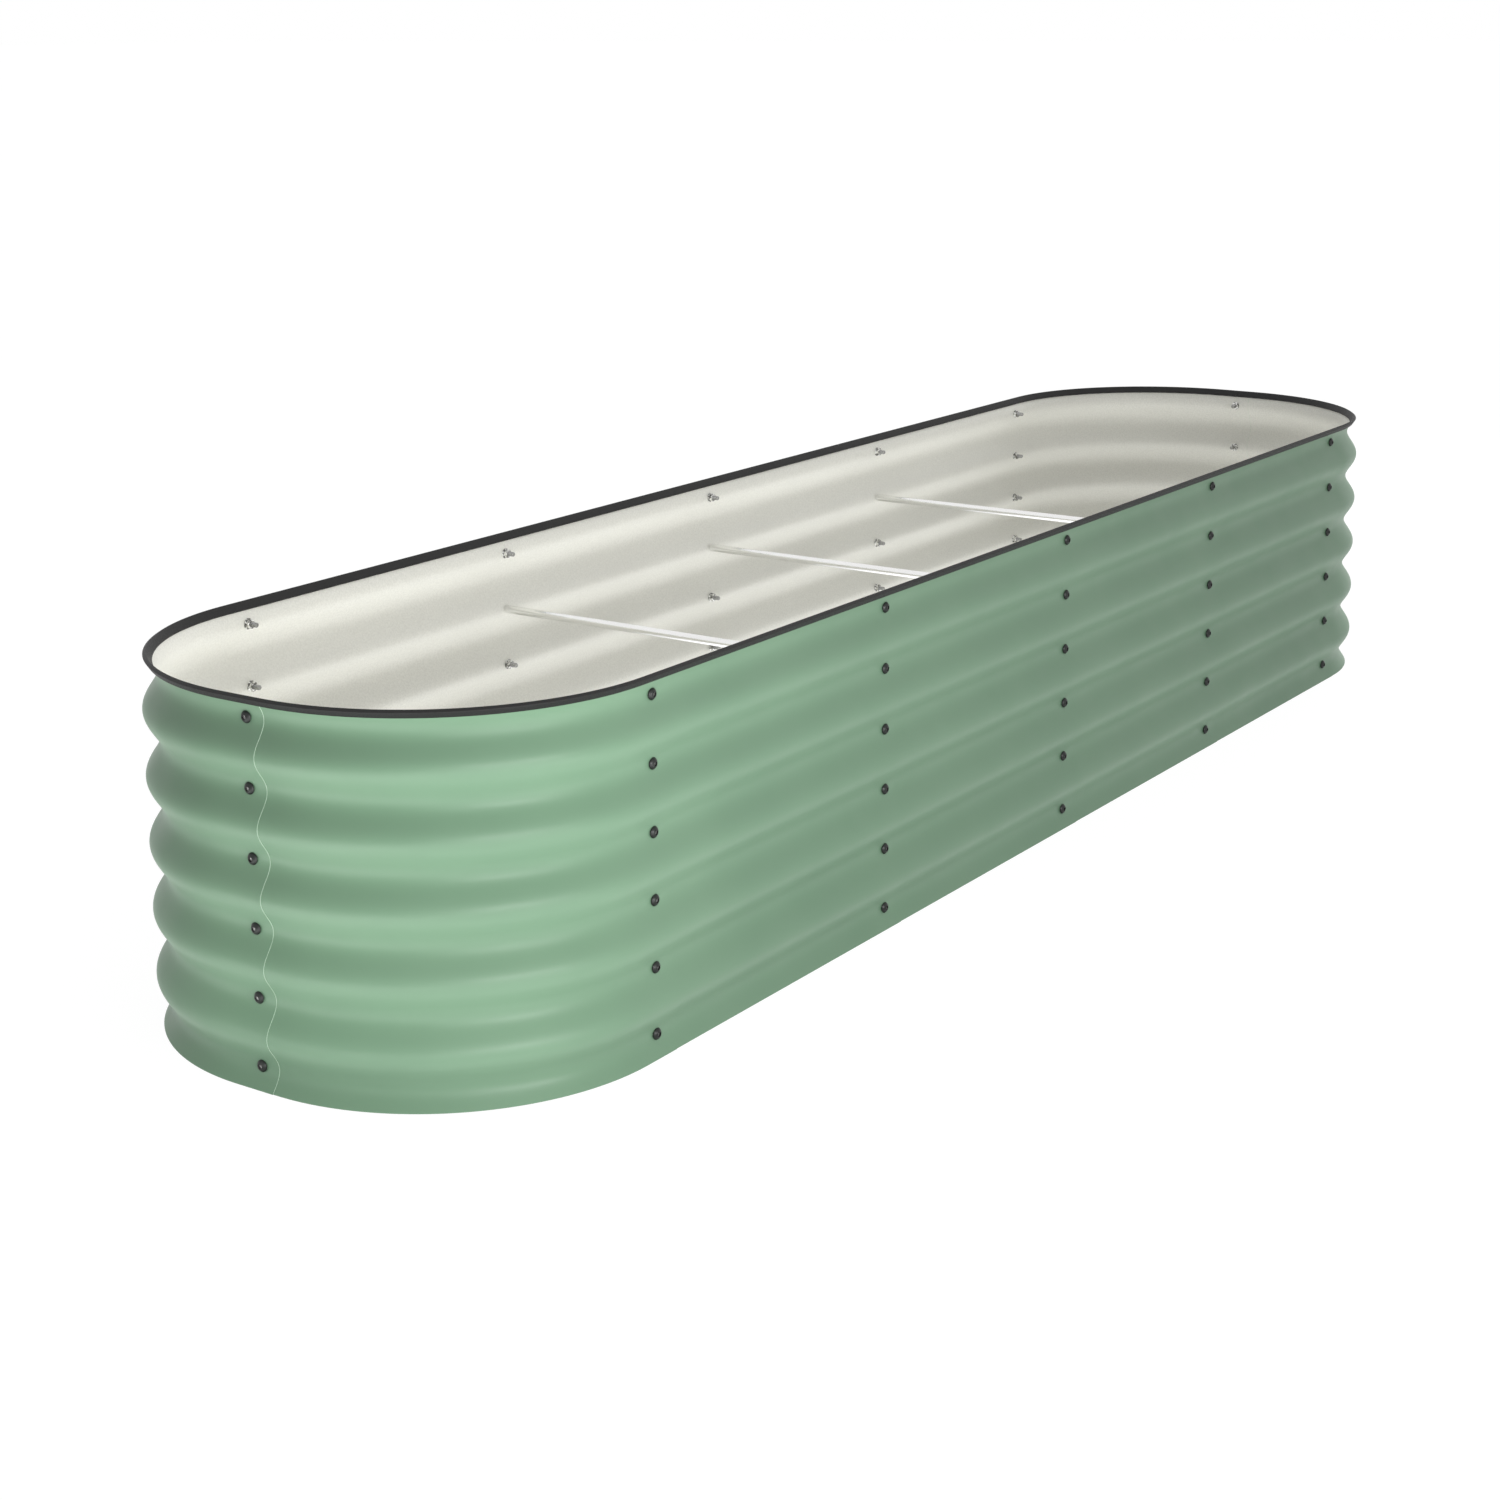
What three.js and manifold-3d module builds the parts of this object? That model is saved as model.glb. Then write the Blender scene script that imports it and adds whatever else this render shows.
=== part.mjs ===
// Oblong raised garden bed of corrugated steel sheet, open at the top and the bottom.
// Twelve sheets stand in a ring: four flat ones along each long side and four quarter-round ones.
// Each joint is a lap with a column of bolts; three tie rods hold the long sides together,
// and a rubber strip covers the cut edge at the top.
// Millimetres, +Z up. The origin is on the ground at the middle of the bed, +X along its length.

import * as THREE from 'three';
import { mergeVertices } from 'three/addons/utils/BufferGeometryUtils.js';
import Module from 'manifold-3d';

const wasm = await Module();
wasm.setup();

// ---------------------------------------------------------------- driving dimensions

const PANEL_PITCH = 457.2;      // bolt column to bolt column along a long side
const PANELS_PER_SIDE = 4;
const CORNER_RADIUS = 256;      // outer face of the valleys, round a corner
const CORNER_STEPS = 7;         // facets of a quarter turn

const SHEET = 1;                // thickness of the sheet, measured level
const ROWS = 6;                 // bolts in a column, one in each valley
const ROW_PITCH = 73;           // height of one wave
const EDGE_MARGIN = 22.5;       // cut edge of the sheet beyond the first and last valley
const WAVE_DEPTH = 16;          // valley to crest
const VALLEY_FLAT = 15;         // level seat in the valley for the fasteners
const SHOULDER = 26;            // height from the valley's middle to the knee of the crest

const LAP_REACH = 19;           // bolt column to the sheet's upright edge
const FLAT_BEYOND_LAP = 8.5;    // straight stretch that a corner sheet has past its lap
const LAP_GAP = 0.3;            // air between the two sheets of a lap

const BOLT_DIAMETER = 6;
const BOLT_LENGTH = 17;         // under the head
const HEAD_DIAMETER = 13;
const HEAD_HEIGHT = 3.4;
const HEAD_RIM = 1.5;           // upright part of the head, under its slope
const HEAD_CROWN = 8.6;         // diameter of the head's flat top
const SOCKET_DIAMETER = 4.6;    // across the corners of the key socket
const SOCKET_DEPTH = 2;
const NUT_FLATS = 10;
const NUT_HEIGHT = 5;
const NUT_FLANGE = 13;
const NUT_FLANGE_HEIGHT = 1.2;
const SEAT_GAP = 0.3;           // air under a head, a nut or a rod's end
const HOLE_CLEARANCE = 0.35;    // round a bolt in its hole
const THREAD_CLEARANCE = 0.3;   // round a bolt in a nut or a rod
const HEAD_SIDES = 8;
const SHANK_SIDES = 6;

const ROD_DIAMETER = 10.5;
const ROD_CHAMFER = 1;
const ROD_BORE_DEPTH = 20;
const ROD_ROW = 2;              // counted from the top
const LOOSE_ROWS = 2;           // rows, from the top, whose bolts and nuts are pieces of their own

const EDGING_WALL = 1.5;        // rubber on each side of the slot
const EDGING_CROWN = 0.9;       // rubber above the slot
const EDGING_OUTER_LEG = 6.6;   // how far the strip reaches down the sheet outside
const EDGING_INNER_LEG = 10.4;  // and how far inside the bed, where it is longer
const EDGING_ROUND = 0.9;       // bevel along the top corners
const EDGING_GAP = 0.3;         // air between rubber and sheet
const EDGING_JOINT = 0.6;       // slit where the two ends of the strip meet

// ---------------------------------------------------------------- sizes that follow

const TAB = LAP_REACH + FLAT_BEYOND_LAP;
const HALF_WIDTH = CORNER_RADIUS + TAB;
const SIDE_LENGTH = PANELS_PER_SIDE * PANEL_PITCH;
const ARC_LENGTH = CORNER_RADIUS * Math.PI / 2;
const CORNER_PITCH = 2 * TAB + ARC_LENGTH;
const SHEET_HEIGHT = (ROWS - 1) * ROW_PITCH + 2 * EDGE_MARGIN;

// A sheet starts at the inner level and ends at the outer level, so laps all run the same way round.
const SHORTEST_SHEET = Math.min(PANEL_PITCH, CORNER_PITCH) + 2 * LAP_REACH;
const LAP_STEP = (SHEET + LAP_GAP) / (1 - 2 * LAP_REACH / SHORTEST_SHEET);
const slopeOf = (pitch) => LAP_STEP / (pitch + 2 * LAP_REACH);

// ---------------------------------------------------------------- the plan line

// Counter-clockwise seen from above, from the left joint of the front side.
const quarter = [[TAB, 0], [ARC_LENGTH, CORNER_RADIUS], [TAB, 0]];
const halfTurn = [[SIDE_LENGTH, 0], ...quarter, ...quarter];
const RUNS = [...halfTurn, ...halfTurn];
const PERIMETER = RUNS.reduce((sum, [length]) => sum + length, 0);

function wallAt(distance) {
  let left = ((distance % PERIMETER) + PERIMETER) % PERIMETER;
  let x = -SIDE_LENGTH / 2;
  let y = -HALF_WIDTH;
  let heading = 0;
  for (const [length, radius] of RUNS) {
    const step = Math.min(left, length);
    if (radius === 0) {
      x += step * Math.cos(heading);
      y += step * Math.sin(heading);
    } else {
      const next = heading + step / radius;
      x += radius * (Math.sin(next) - Math.sin(heading));
      y += radius * (Math.cos(heading) - Math.cos(next));
      heading = next;
    }
    left -= step;
    if (left <= 1e-9) break;
  }
  return { x, y, heading, normal: new THREE.Vector2(Math.sin(heading), -Math.cos(heading)) };
}

// Distances at which a faceted corner has its vertices.
const cornerMarks = [];
{
  let start = 0;
  for (const [length, radius] of RUNS) {
    for (let i = 0; radius > 0 && i <= CORNER_STEPS; i++) cornerMarks.push(start + length * i / CORNER_STEPS);
    start += length;
  }
}

function stations(from, to) {
  const inside = [];
  for (const mark of cornerMarks) {
    for (const turn of [-PERIMETER, 0, PERIMETER]) {
      if (mark + turn > from + 1e-6 && mark + turn < to - 1e-6) inside.push(mark + turn);
    }
  }
  return [from, ...inside.sort((a, b) => a - b), to];
}

// ---------------------------------------------------------------- sections

const rowHeight = (row) => SHEET_HEIGHT - EDGE_MARGIN - (row - 1) * ROW_PITCH;   // row 1 is the top one

// How far the wave stands out at a height above a valley's middle: flat seat, slope, rounded crest.
function waveOut(aboveValley) {
  const h = Math.abs(((aboveValley / ROW_PITCH + 0.5) % 1 + 1) % 1 - 0.5) * ROW_PITCH;
  const shoulderOut = WAVE_DEPTH * (1 - Math.cos(2 * Math.PI * SHOULDER / ROW_PITCH)) / 2;
  if (h <= VALLEY_FLAT / 2) return 0;
  if (h <= SHOULDER) return shoulderOut * (h - VALLEY_FLAT / 2) / (SHOULDER - VALLEY_FLAT / 2);
  return shoulderOut + (WAVE_DEPTH - shoulderOut) * (h - SHOULDER) / (ROW_PITCH / 2 - SHOULDER);
}

const outAtHeight = (z) => waveOut(z - rowHeight(1));

// Heights of the bends between the two cut edges, bottom to top.
function waveHeights() {
  const bends = [0, SHEET_HEIGHT];
  for (let row = 0; row <= ROWS + 1; row++) {
    const valley = rowHeight(row);
    for (const up of [-ROW_PITCH / 2, -SHOULDER, -VALLEY_FLAT / 2, VALLEY_FLAT / 2, SHOULDER, ROW_PITCH / 2]) {
      if (valley + up > 0.01 && valley + up < SHEET_HEIGHT - 0.01) bends.push(valley + up);
    }
  }
  bends.sort((a, b) => a - b);
  return bends.filter((z, i) => i === 0 || z - bends[i - 1] > 0.01);
}

// Closed outline of the sheet as (level distance out, height) pairs.
function sheetSection() {
  const heights = waveHeights();
  const outer = heights.map((z) => new THREE.Vector2(outAtHeight(z), z));
  const inner = heights.map((z) => new THREE.Vector2(outAtHeight(z) - SHEET, z)).reverse();
  return [...outer, ...inner];
}

// The strip leans with the slope of the sheet's top edge. Its slot clears both sheets of a lap.
function edgingSection() {
  const top = SHEET_HEIGHT;
  const foot = top - Math.max(EDGING_OUTER_LEG, EDGING_INNER_LEG);
  const along = new THREE.Vector2(outAtHeight(top) - outAtHeight(foot), top - foot).normalize();
  const across = new THREE.Vector2(along.y, -along.x);
  const corner = new THREE.Vector2(outAtHeight(top), top);
  const bends = [top, foot, ...waveHeights().filter((z) => z > foot && z < top)];
  const faces = [];
  for (const z of bends) {
    faces.push(new THREE.Vector2(outAtHeight(z) + LAP_STEP / 2, z).sub(corner));
    faces.push(new THREE.Vector2(outAtHeight(z) - LAP_STEP / 2 - SHEET, z).sub(corner));
  }
  const slotOuter = Math.max(...faces.map((p) => p.dot(across))) + EDGING_GAP;
  const slotInner = Math.min(...faces.map((p) => p.dot(across))) - EDGING_GAP;
  const slotTop = Math.max(...faces.map((p) => p.dot(along))) + EDGING_GAP;
  const outerLip = slotTop - EDGING_GAP - EDGING_OUTER_LEG;
  const innerLip = slotTop - EDGING_GAP - EDGING_INNER_LEG;
  const crown = slotTop + EDGING_CROWN;
  const round = Math.min(EDGING_ROUND, EDGING_CROWN, EDGING_WALL);
  const outline = [
    [outerLip, slotOuter], [outerLip, slotOuter + EDGING_WALL],
    [crown - round, slotOuter + EDGING_WALL], [crown, slotOuter + EDGING_WALL - round],
    [crown, slotInner - EDGING_WALL + round], [crown - round, slotInner - EDGING_WALL],
    [innerLip, slotInner - EDGING_WALL], [innerLip, slotInner],
    [slotTop, slotInner], [slotTop, slotOuter],
  ];
  return outline.map(([u, v]) => corner.clone().addScaledVector(along, u).addScaledVector(across, v));
}

// ---------------------------------------------------------------- solids

// One closed body: shared vertices merged, empty triangles dropped, faces pointing out.
function closedBody(geometry) {
  const bare = geometry.index ? geometry.clone() : geometry;
  bare.deleteAttribute('normal');
  bare.deleteAttribute('uv');
  const merged = mergeVertices(bare, 1e-4);
  const position = merged.getAttribute('position');
  const index = merged.getIndex().array;
  const kept = [];
  let volume = 0;
  const a = new THREE.Vector3();
  const b = new THREE.Vector3();
  const c = new THREE.Vector3();
  for (let i = 0; i < index.length; i += 3) {
    const [p, q, r] = [index[i], index[i + 1], index[i + 2]];
    if (p === q || q === r || r === p) continue;
    kept.push(p, q, r);
    a.fromBufferAttribute(position, p);
    b.fromBufferAttribute(position, q);
    c.fromBufferAttribute(position, r);
    volume += a.dot(b.cross(c)) / 6;
  }
  if (volume < 0) {
    for (let i = 0; i < kept.length; i += 3) [kept[i], kept[i + 1]] = [kept[i + 1], kept[i]];
  }
  merged.setIndex(kept);
  return merged;
}

const toSolid = (geometry) => {
  const body = closedBody(geometry);
  return new wasm.Manifold(new wasm.Mesh({
    numProp: 3,
    vertProperties: new Float32Array(body.getAttribute('position').array),
    triVerts: new Uint32Array(body.getIndex().array),
  }));
};

const toGeometry = (solid) => {
  const mesh = solid.getMesh();
  const geometry = new THREE.BufferGeometry();
  geometry.setAttribute('position', new THREE.BufferAttribute(new Float32Array(mesh.vertProperties), 3));
  geometry.setIndex(Array.from(mesh.triVerts));
  return geometry;
};

// A section carried along the plan line between two distances; level(s) moves it in or out.
function carried(section, from, to, level) {
  const marks = stations(from, to);
  const count = section.length;
  const points = [];
  for (const s of marks) {
    const { x, y, normal } = wallAt(s);
    for (const p of section) {
      const out = p.x + level(s);
      points.push(x + normal.x * out, y + normal.y * out, p.y);
    }
  }
  const faces = [];
  for (let i = 0; i < marks.length - 1; i++) {
    for (let j = 0; j < count; j++) {
      const k = (j + 1) % count;
      const [a, b, c, d] = [i * count + j, i * count + k, (i + 1) * count + k, (i + 1) * count + j];
      faces.push(a, b, c, a, c, d);
    }
  }
  const last = (marks.length - 1) * count;
  for (const [a, b, c] of THREE.ShapeUtils.triangulateShape(section, [])) {
    faces.push(c, b, a);
    faces.push(last + a, last + b, last + c);
  }
  const geometry = new THREE.BufferGeometry();
  geometry.setAttribute('position', new THREE.BufferAttribute(new Float32Array(points), 3));
  geometry.setIndex(faces);
  return geometry;
}

// Turned piece with its axis along +X.
const turned = (outline, sides) => {
  const points = outline.map(([r, x]) => new THREE.Vector2(r, x));
  return new THREE.LatheGeometry(points, sides).rotateZ(-Math.PI / 2);
};

const prism = (corners, radius, from, to) => {
  const body = new THREE.CylinderGeometry(radius, radius, to - from, corners);
  return body.rotateZ(-Math.PI / 2).translate((from + to) / 2, 0, 0);
};

// Levels of the two sheets at a joint's bolt column, as distances out from the plan line.
function levelsAt(joint) {
  return {
    outer: LAP_STEP / 2 - slopeOf(joint.before) * LAP_REACH,
    inner: -LAP_STEP / 2 + slopeOf(joint.after) * LAP_REACH,
  };
}

const cornerRadiusOfNut = NUT_FLATS / 2 / Math.cos(Math.PI / 6);
const clearOf = (radius, sides) => radius / Math.cos(Math.PI / sides);

// Button-head bolt: head outside, x = 0 under the head.
function boltGeometry() {
  const head = turned([
    [0, 0], [HEAD_DIAMETER / 2, 0], [HEAD_DIAMETER / 2, HEAD_RIM], [HEAD_CROWN / 2, HEAD_HEIGHT],
    [0, HEAD_HEIGHT],
  ], HEAD_SIDES);
  const shank = prism(SHANK_SIDES, BOLT_DIAMETER / 2, -BOLT_LENGTH, HEAD_HEIGHT - SOCKET_DEPTH);
  const socket = prism(6, SOCKET_DIAMETER / 2, HEAD_HEIGHT - SOCKET_DEPTH, HEAD_HEIGHT + 1);
  return toGeometry(toSolid(head).add(toSolid(shank)).subtract(toSolid(socket)));
}

// Flanged nut: x = 0 at the flange's seat, the nut reaching into the bed.
function nutGeometry() {
  const bore = clearOf(BOLT_DIAMETER / 2 + THREAD_CLEARANCE, SHANK_SIDES);
  const flange = toSolid(prism(HEAD_SIDES, NUT_FLANGE / 2, -NUT_FLANGE_HEIGHT, 0));
  const hexagon = toSolid(prism(6, cornerRadiusOfNut, -NUT_FLANGE_HEIGHT - NUT_HEIGHT, -NUT_FLANGE_HEIGHT / 2));
  const hole = toSolid(prism(SHANK_SIDES, bore, -NUT_FLANGE_HEIGHT - NUT_HEIGHT - 1, 1));
  return toGeometry(flange.add(hexagon).subtract(hole));
}

// Tie rod with a blind threaded bore in each end.
function rodGeometry(length) {
  const bore = clearOf(BOLT_DIAMETER / 2 + THREAD_CLEARANCE, HEAD_SIDES);
  const half = length / 2;
  const radius = ROD_DIAMETER / 2;
  return closedBody(turned([
    [0, ROD_BORE_DEPTH - half], [bore, ROD_BORE_DEPTH - half], [bore, -half], [radius - ROD_CHAMFER, -half],
    [radius, ROD_CHAMFER - half], [radius, half - ROD_CHAMFER], [radius - ROD_CHAMFER, half], [bore, half],
    [bore, half - ROD_BORE_DEPTH], [0, half - ROD_BORE_DEPTH],
  ], HEAD_SIDES));
}

// ---------------------------------------------------------------- joints and sheets

// A joint is a bolt column; before and after are the pitches of the sheets that meet there.
const joints = [];
const panels = [];
{
  const order = [];
  for (let i = 1; i <= PANELS_PER_SIDE; i++) order.push([`front_panel_${i}`, PANEL_PITCH]);
  order.push(['corner_panel_front_right', CORNER_PITCH], ['corner_panel_back_right', CORNER_PITCH]);
  for (let i = PANELS_PER_SIDE; i >= 1; i--) order.push([`back_panel_${i}`, PANEL_PITCH]);
  order.push(['corner_panel_back_left', CORNER_PITCH], ['corner_panel_front_left', CORNER_PITCH]);
  const places = [];
  for (let i = 1; i <= PANELS_PER_SIDE + 1; i++) places.push(`front_${i}`);
  places.push('right_end');
  for (let i = PANELS_PER_SIDE + 1; i >= 1; i--) places.push(`back_${i}`);
  places.push('left_end');
  let s = 0;
  order.forEach(([name, pitch], i) => {
    const before = order[(i + order.length - 1) % order.length][1];
    joints.push({ place: places[i], s, before, after: pitch });
    panels.push({ name, start: s, pitch });
    s += pitch;
  });
}

// Bolts and nuts of the lower rows are drawn on the sheet that each one presses on.
const headOnSheet = () => {
  const sunk = SHEET / 2;
  const widening = (HEAD_DIAMETER - HEAD_CROWN) / 2 * sunk / HEAD_HEIGHT;
  return turned([
    [0, -sunk], [HEAD_DIAMETER / 2 + widening, -sunk], [HEAD_CROWN / 2, HEAD_HEIGHT], [0, HEAD_HEIGHT],
  ], HEAD_SIDES);
};

const nutOnSheet = () => prism(6, cornerRadiusOfNut, -NUT_FLANGE_HEIGHT - NUT_HEIGHT, SHEET / 2);

function placedAt(joint, row, out, geometry) {
  const { x, y, heading, normal } = wallAt(joint.s);
  const turn = heading - Math.PI / 2;
  geometry.rotateZ(turn);
  return geometry.translate(x + normal.x * out, y + normal.y * out, rowHeight(row));
}

const bed = new THREE.Group();
const material = (color, roughness, metalness) => new THREE.MeshStandardMaterial({ color, roughness, metalness });
const paint = material(0x86ab8c, 0.45, 0.1);
const rubber = material(0x3a3839, 0.7, 0);
const darkSteel = material(0x2b2e2d, 0.5, 0.4);
const brightSteel = material(0xc9cacb, 0.25, 1);

function addPiece(name, geometry, look) {
  const mesh = new THREE.Mesh(geometry, look);
  mesh.name = name;
  bed.add(mesh);
  return mesh;
}

const section = sheetSection();
const holeRadius = clearOf(BOLT_DIAMETER / 2 + HOLE_CLEARANCE, SHANK_SIDES);

panels.forEach((panel, i) => {
  const start = panel.start - LAP_REACH;
  const end = panel.start + panel.pitch + LAP_REACH;
  const level = (s) => -LAP_STEP / 2 + slopeOf(panel.pitch) * (s - start);
  let solid = toSolid(carried(section, start, end, level));
  const startJoint = joints[i];
  const endJoint = joints[(i + 1) % joints.length];
  for (let row = 1; row <= ROWS; row++) {
    for (const joint of [startJoint, endJoint]) {
      const levels = levelsAt(joint);
      if (row <= LOOSE_ROWS) {
        const out = joint === startJoint ? levels.inner : levels.outer;
        const drill = prism(SHANK_SIDES, holeRadius, -3 * SHEET, 2 * SHEET);
        solid = solid.subtract(toSolid(placedAt(joint, row, out, drill)));
      } else if (joint === endJoint) {
        solid = solid.add(toSolid(placedAt(joint, row, levels.outer, headOnSheet())));
      } else {
        solid = solid.add(toSolid(placedAt(joint, row, levels.inner - SHEET, nutOnSheet())));
      }
    }
  }
  addPiece(panel.name, toGeometry(solid), paint);
});

// ---------------------------------------------------------------- rods, bolts and nuts

function place(mesh, joint, row, out) {
  const { x, y, heading, normal } = wallAt(joint.s);
  mesh.position.set(x + normal.x * out, y + normal.y * out, rowHeight(row));
  mesh.rotation.z = heading - Math.PI / 2;
}

const jointAt = (name) => joints.find((joint) => joint.place === name);
const rodded = new Set();
for (let i = 1; i < PANELS_PER_SIDE; i++) {
  const front = jointAt(`front_${i + 1}`);
  const back = jointAt(`back_${i + 1}`);
  const reach = (joint) => HALF_WIDTH + levelsAt(joint).inner - SHEET - SEAT_GAP;
  const rod = addPiece(`cross_rod_${i}`, rodGeometry(reach(front) + reach(back)), brightSteel);
  rod.rotation.z = Math.PI / 2;
  rod.position.set(wallAt(front.s).x, (reach(back) - reach(front)) / 2, rowHeight(ROD_ROW));
  rodded.add(front.place);
  rodded.add(back.place);
}

const rowNames = ['top', 'second', 'third', 'fourth', 'fifth', 'sixth'];
for (const joint of joints) {
  const levels = levelsAt(joint);
  for (let row = 1; row <= LOOSE_ROWS; row++) {
    const bolt = addPiece(`${rowNames[row - 1]}_bolt_${joint.place}`, boltGeometry(), darkSteel);
    place(bolt, joint, row, levels.outer + SEAT_GAP);
    if (row === ROD_ROW && rodded.has(joint.place)) continue;
    const nut = addPiece(`${rowNames[row - 1]}_nut_${joint.place}`, nutGeometry(), brightSteel);
    place(nut, joint, row, levels.inner - SHEET - SEAT_GAP);
  }
}

// ---------------------------------------------------------------- rim edging

const meeting = jointAt('right_end').s;
const strip = carried(edgingSection(), meeting + EDGING_JOINT / 2, meeting + PERIMETER - EDGING_JOINT / 2, () => 0);
addPiece('rim_edging', closedBody(strip), rubber);

export default bed;
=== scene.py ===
# %% [markdown]
# # A raised garden bed of corrugated steel
#
# The real bed is a ring of twelve corrugated sheets, lapped and bolted, with three tie rods across it
# and a rubber strip on its top edge. The measured solids of that bed are already packed as a frame.
# This script loads them, keeps their places, and gives every piece its true form and finish:
# the solids have a coarse wave and plain bolts, and the real sheets are smoothly rolled and painted.
# Every cell first says what it is about, then does it, then prints what it made.

# %% Load the frame
import math

import bmesh
import bpy
from mathutils import Matrix, Vector


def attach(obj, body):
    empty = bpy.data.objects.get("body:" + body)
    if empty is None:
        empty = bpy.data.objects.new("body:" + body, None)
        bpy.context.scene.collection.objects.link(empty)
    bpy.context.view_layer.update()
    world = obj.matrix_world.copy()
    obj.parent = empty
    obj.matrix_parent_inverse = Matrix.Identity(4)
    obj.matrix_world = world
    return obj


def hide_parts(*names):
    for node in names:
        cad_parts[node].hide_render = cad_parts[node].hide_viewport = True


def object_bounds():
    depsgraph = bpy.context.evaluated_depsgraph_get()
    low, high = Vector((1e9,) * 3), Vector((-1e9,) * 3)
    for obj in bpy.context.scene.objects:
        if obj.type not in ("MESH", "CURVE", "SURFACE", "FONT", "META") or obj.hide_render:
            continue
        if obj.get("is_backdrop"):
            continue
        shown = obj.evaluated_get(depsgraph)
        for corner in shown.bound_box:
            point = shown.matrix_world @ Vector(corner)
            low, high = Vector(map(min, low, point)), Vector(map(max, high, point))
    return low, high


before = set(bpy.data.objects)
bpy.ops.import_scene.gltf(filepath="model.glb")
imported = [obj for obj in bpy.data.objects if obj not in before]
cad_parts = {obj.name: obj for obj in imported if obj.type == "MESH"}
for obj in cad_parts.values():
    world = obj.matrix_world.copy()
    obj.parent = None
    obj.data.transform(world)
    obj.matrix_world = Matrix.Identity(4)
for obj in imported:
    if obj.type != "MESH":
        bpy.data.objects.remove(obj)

cad_low, cad_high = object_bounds()
print("frame:", len(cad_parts), "solids,", [round(v, 4) for v in cad_high - cad_low], "m")

# %% [markdown]
# ## The sizes that drive the bed
#
# A sheet-metal maker works from a few numbers: the spacing of the bolt columns, the radius of the
# corners, and the height and depth of one wave. They are written here once, in metres. The solids
# were made from the same ones, but the sheet is as thin here as the real one, its laps are closer
# and they reach a little further. Everything below follows from these values.

# %% Sizes
MM = 0.001
PANEL_PITCH = 457.2 * MM        # bolt column to bolt column along a long side
PANELS_PER_SIDE = 4
CORNER_RADIUS = 256 * MM        # outer face of the valleys, round a corner
SHEET = 0.6 * MM                # thickness of the steel
ROWS = 6
WAVE_HEIGHT = 73 * MM
WAVE_DEPTH = 16 * MM
EDGE_MARGIN = 22.5 * MM         # cut edge beyond the first and last valley
LAP_REACH = 22.5 * MM           # bolt column to a sheet's upright edge
TAB = 27.5 * MM                 # straight stretch at each end of a corner sheet
LAP_GAP = 0.05 * MM             # between the two sheets of a lap

SHEET_HEIGHT = (ROWS - 1) * WAVE_HEIGHT + 2 * EDGE_MARGIN
SIDE_LENGTH = PANELS_PER_SIDE * PANEL_PITCH
ARC_LENGTH = CORNER_RADIUS * math.pi / 2
CORNER_PITCH = 2 * TAB + ARC_LENGTH
SHORTEST_SHEET = min(PANEL_PITCH, CORNER_PITCH) + 2 * LAP_REACH
LAP_STEP = (SHEET + LAP_GAP) / (1 - 2 * LAP_REACH / SHORTEST_SHEET)


def row_height(row):
    """Height of a row of bolts; row 1 is the top one."""
    return SHEET_HEIGHT - EDGE_MARGIN - (row - 1) * WAVE_HEIGHT


def wave_out(height):
    """How far the rolled wave stands out of its valleys at a height."""
    return WAVE_DEPTH / 2 * (1 - math.cos(math.tau * (height - row_height(1)) / WAVE_HEIGHT))


print("sheet height", round(SHEET_HEIGHT, 4), "m, corner sheet pitch", round(CORNER_PITCH, 4), "m")

# %% [markdown]
# ## The plan line
#
# Seen from above, the wall is one line: a long side, two quarter turns, the other long side, and two
# more quarter turns. A piece that follows the wall only has to know how far along that line it sits.
# So one function walks the line and returns a point and a heading, and it is used for the joints,
# the fasteners and the rubber strip alike.

# %% Plan line and joints
QUARTER = [(TAB, 0), (ARC_LENGTH, CORNER_RADIUS), (TAB, 0)]
RUNS = 2 * ([(SIDE_LENGTH, 0)] + 2 * QUARTER)
PERIMETER = sum(length for length, _ in RUNS)
ROUNDING = 1e-9                 # metres that a sum of lengths may be off


def wall_at(distance):
    """Point and heading on the plan line, counter-clockwise from the front side's left joint."""
    left = distance % PERIMETER
    x, y, heading = -SIDE_LENGTH / 2, -(CORNER_RADIUS + TAB), 0.0
    for length, radius in RUNS:
        step = min(left, length)
        if radius:
            turned = heading + step / radius
            x += radius * (math.sin(turned) - math.sin(heading))
            y += radius * (math.cos(heading) - math.cos(turned))
            heading = turned
        else:
            x += step * math.cos(heading)
            y += step * math.sin(heading)
        left -= step
        if left <= ROUNDING:
            break
    return Vector((x, y, 0)), heading


sheets = [(f"front_panel_{i + 1}", PANEL_PITCH) for i in range(PANELS_PER_SIDE)]
sheets += [("corner_panel_front_right", CORNER_PITCH), ("corner_panel_back_right", CORNER_PITCH)]
sheets += [(f"back_panel_{PANELS_PER_SIDE - i}", PANEL_PITCH) for i in range(PANELS_PER_SIDE)]
sheets += [("corner_panel_back_left", CORNER_PITCH), ("corner_panel_front_left", CORNER_PITCH)]
places = [f"front_{i + 1}" for i in range(PANELS_PER_SIDE + 1)] + ["right_end"]
places += [f"back_{PANELS_PER_SIDE + 1 - i}" for i in range(PANELS_PER_SIDE + 1)] + ["left_end"]
joints = {}
walked = 0.0
for place, (_, pitch) in zip(places, sheets):
    joints[place] = walked
    walked += pitch
print(len(joints), "joints on a plan line of", round(PERIMETER, 4), "m")

# %% [markdown]
# ## The camera
#
# The photograph looks down on the bed's left end from the front left. The camera's place, turn and
# focal length come from fitting the bolts, the rim and the bottom edge. Its line of sight meets the
# picture above the middle, so the lens is shifted upright; sideways it is not shifted at all.

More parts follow.
